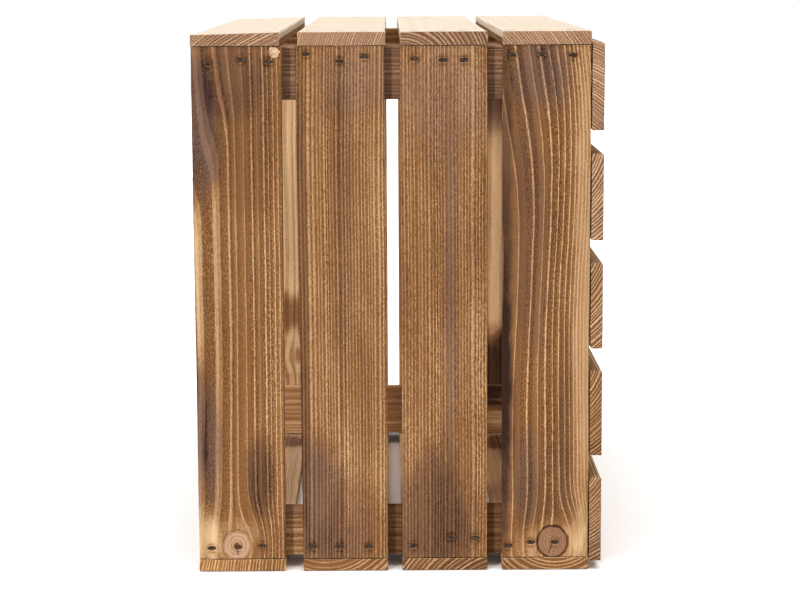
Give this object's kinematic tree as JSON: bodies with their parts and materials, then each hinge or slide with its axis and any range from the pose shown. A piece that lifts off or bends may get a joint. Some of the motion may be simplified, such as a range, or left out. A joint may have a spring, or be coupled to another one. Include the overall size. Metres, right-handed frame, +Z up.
{
  "type": "wooden crate",
  "caption": "Slatted, flame-darkened softwood fruit crate with triangular corner posts and sunk staples, standing on a long side with its mouth to one side.",
  "frame": {"origin": "middle of the crate's footprint, on the surface it stands on", "axes": "the crate stands on one long side: +Z is up and runs across the crate's width, +Y runs along its length, away from the end that the picture shows, and +X runs from the open mouth to the outside of the bottom boards"},
  "size_m": [0.3, 0.5, 0.4],
  "materials": {
    "board_wood": "brushed softwood darkened by a flame, matt, with raised grain",
    "post_wood": "rough sawn softwood darkened by a flame, matt",
    "staple_steel": "dulled steel wire, burnt dark"
  },
  "bodies": {
    "root": {"front_end_board_1": "board_wood", "front_end_board_2": "board_wood", "front_end_board_3": "board_wood", "front_end_board_4": "board_wood", "back_end_board_1": "board_wood", "back_end_board_2": "board_wood", "back_end_board_3": "board_wood", "back_end_board_4": "board_wood", "upper_side_board_1": "board_wood", "upper_side_board_2": "board_wood", "upper_side_board_3": "board_wood", "upper_side_board_4": "board_wood", "lower_side_board_1": "board_wood", "lower_side_board_2": "board_wood", "lower_side_board_3": "board_wood", "lower_side_board_4": "board_wood", "bottom_board_1": "board_wood", "bottom_board_2": "board_wood", "bottom_board_3": "board_wood", "bottom_board_4": "board_wood", "bottom_board_5": "board_wood", "front_upper_post": "post_wood", "front_lower_post": "post_wood", "back_upper_post": "post_wood", "back_lower_post": "post_wood", "front_end_staples": "staple_steel", "back_end_staples": "staple_steel", "upper_side_staples": "staple_steel", "lower_side_staples": "staple_steel", "bottom_staples": "staple_steel"}
  },
  "joints": []
}
